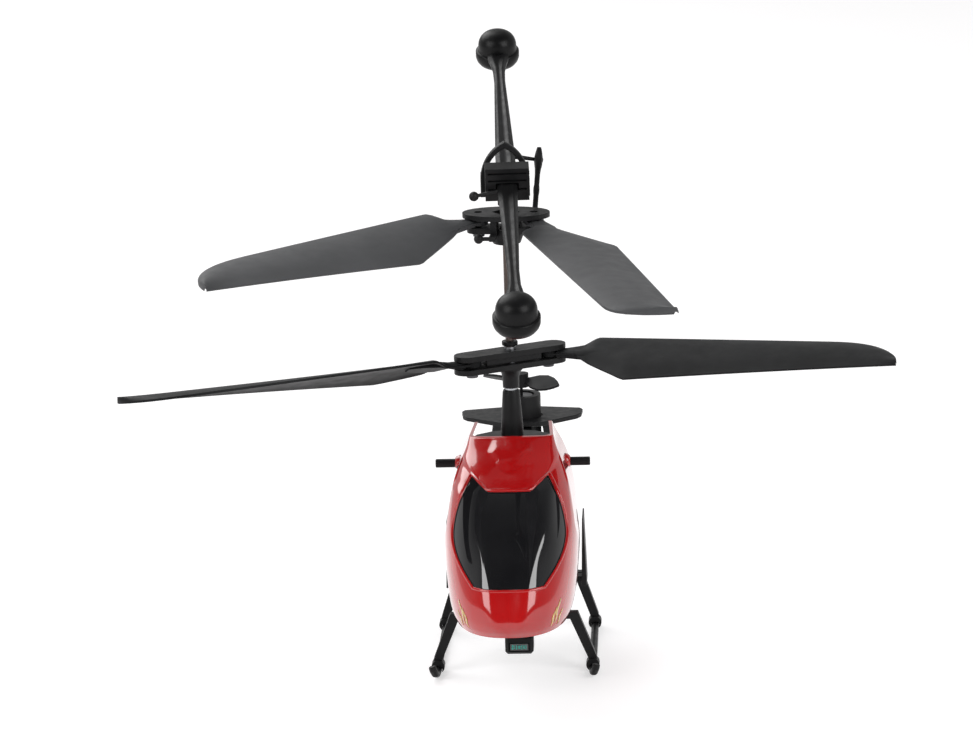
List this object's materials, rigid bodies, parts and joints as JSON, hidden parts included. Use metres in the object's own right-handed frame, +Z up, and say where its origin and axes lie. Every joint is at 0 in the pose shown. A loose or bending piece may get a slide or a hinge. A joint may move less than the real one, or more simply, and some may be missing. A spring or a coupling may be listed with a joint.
{
  "type": "remote control helicopter",
  "caption": "Coaxial micro radio-controlled helicopter with a glossy red canopy, dark windshield, two stacked rotors, a weighted flybar, skids and a tail rotor.",
  "frame": {"origin": "on the ground, in the middle of the plan box that holds the rotors and the tail as they stand", "axes": "+Z up; the nose points to -Y and the tail to +Y; +X is to the right seen from in front"},
  "size_m": [0.1795, 0.1949, 0.143],
  "materials": {
    "red_shell": "gloss",
    "dark_glass": "gloss",
    "black_frame": "satin",
    "blade_plastic": "satin",
    "gloss_black": "gloss",
    "gear_plastic": "satin",
    "steel": "satin",
    "brass": "satin",
    "copper_shaft": "satin",
    "board_green": "satin",
    "battery_wrap": "satin"
  },
  "bodies": {
    "fuselage": {"canopy": "red_shell", "windshield": "dark_glass", "gear_frame": "black_frame", "belly_tray": "black_frame", "mast_sleeve": "black_frame", "lower_bush": "brass", "front_motor": "steel", "rear_motor": "steel", "battery": "battery_wrap", "circuit_board": "board_green", "chin_housing": "gloss_black", "chin_board": "board_green", "canopy_pin_left": "black_frame", "canopy_pin_right": "black_frame", "side_guard_left": "black_frame", "side_guard_right": "black_frame", "skid_left": "black_frame", "skid_right": "black_frame", "tail_fin_left": "black_frame", "tail_fin_right": "black_frame", "front_strut": "black_frame", "rear_strut": "black_frame", "tail_boom": "black_frame", "tail_motor_housing": "black_frame", "tail_motor": "steel", "tailplane": "black_frame", "switch_housing": "black_frame", "charging_socket": "gloss_black"},
    "front_pinion": {"front_pinion": "brass"},
    "rear_pinion": {"rear_pinion": "brass"},
    "tail_rotor": {"tail_rotor": "blade_plastic"},
    "power_switch": {"power_switch": "gloss_black"},
    "lower_rotor": {"outer_shaft": "steel", "outer_gear": "gear_plastic", "lower_hub_top": "black_frame", "lower_hub_bottom": "black_frame", "lower_screw_left": "steel", "lower_screw_right": "steel"},
    "lower_blade_left": {"lower_blade_left": "blade_plastic"},
    "lower_blade_right": {"lower_blade_right": "blade_plastic"},
    "upper_rotor": {"inner_shaft": "copper_shaft", "inner_gear": "gear_plastic", "shaft_collar": "gloss_black", "shaft_head": "black_frame", "flybar_pin": "steel", "hub_pin": "steel"},
    "flybar": {"flybar": "black_frame", "flybar_saddle": "black_frame", "flybar_weight_front": "gloss_black", "flybar_weight_rear": "gloss_black"},
    "upper_hub": {"upper_hub_plate": "blade_plastic", "upper_hub_clamp": "black_frame", "upper_screw_left": "steel", "upper_screw_right": "steel"},
    "upper_blade_left": {"upper_blade_left": "blade_plastic"},
    "upper_blade_right": {"upper_blade_right": "blade_plastic"},
    "link_rod": {"link_rod": "black_frame"}
  },
  "joints": [
    {"name": "lower_rotor_spin", "type": "hinge", "parent": "fuselage", "child": "lower_rotor", "pos_m": [-0.00057, -0.0167, 0.0721], "axis": [0, 0, 1], "continuous": true},
    {"name": "upper_rotor_spin", "type": "hinge", "parent": "fuselage", "child": "upper_rotor", "pos_m": [-0.00057, -0.0167, 0.1054], "axis": [0, 0, 1], "continuous": true},
    {"name": "front_pinion_spin", "type": "hinge", "parent": "fuselage", "child": "front_pinion", "pos_m": [-0.00057, -0.0262, 0.0475], "axis": [0, 0, 1], "continuous": true},
    {"name": "rear_pinion_spin", "type": "hinge", "parent": "fuselage", "child": "rear_pinion", "pos_m": [-0.00057, -0.0072, 0.0433], "axis": [0, 0, 1], "continuous": true},
    {"name": "tail_rotor_spin", "type": "hinge", "parent": "fuselage", "child": "tail_rotor", "pos_m": [-0.00249, 0.08828, 0.0412], "axis": [0, 0, 1], "continuous": true},
    {"name": "power_switch_slide", "type": "slide", "parent": "fuselage", "child": "power_switch", "axis": [0, 1, 0], "range_m": [0, 0.0024]},
    {"name": "lower_blade_left_swing", "type": "hinge", "parent": "lower_rotor", "child": "lower_blade_left", "pos_m": [-0.00945, -0.02172, 0.0721], "axis": [0, 0, 1], "range_deg": [-69, 70]},
    {"name": "lower_blade_right_swing", "type": "hinge", "parent": "lower_rotor", "child": "lower_blade_right", "pos_m": [0.00831, -0.01168, 0.0721], "axis": [0, 0, 1], "range_deg": [-30, 110]},
    {"name": "flybar_teeter", "type": "hinge", "parent": "upper_rotor", "child": "flybar", "pos_m": [-0.00057, -0.0167, 0.1168], "axis": [-0.9977, -0.0671, 0], "range_deg": [0, 22.5]},
    {"name": "upper_hub_teeter", "type": "hinge", "parent": "upper_rotor", "child": "upper_hub", "pos_m": [-0.00057, -0.0167, 0.1054], "axis": [-0.9981, 0.061, 0], "range_deg": [0, 22.5]},
    {"name": "upper_blade_left_swing", "type": "hinge", "parent": "upper_hub", "child": "upper_blade_left", "pos_m": [-0.00716, -0.0163, 0.1054], "axis": [-0.0027, -0.0435, 0.999], "range_deg": [-90, 0]},
    {"name": "upper_blade_right_swing", "type": "hinge", "parent": "upper_hub", "child": "upper_blade_right", "pos_m": [0.00602, -0.0171, 0.1054], "axis": [-0.0027, -0.0435, 0.999], "range_deg": [0, 95]},
    {"name": "link_rod_swing", "type": "hinge", "parent": "flybar", "child": "link_rod", "pos_m": [0.00713, -0.0082, 0.11832], "axis": [-0.9977, -0.0671, 0], "range_deg": [-17.5, 0]}
  ],
  "couplings": [
    {"joint": "front_pinion_spin", "follows": "lower_rotor_spin", "ratio": -6},
    {"joint": "rear_pinion_spin", "follows": "upper_rotor_spin", "ratio": -6},
    {"joint": "upper_hub_teeter", "follows": "flybar_teeter", "ratio": 1},
    {"joint": "link_rod_swing", "follows": "flybar_teeter", "ratio": -0.765}
  ]
}
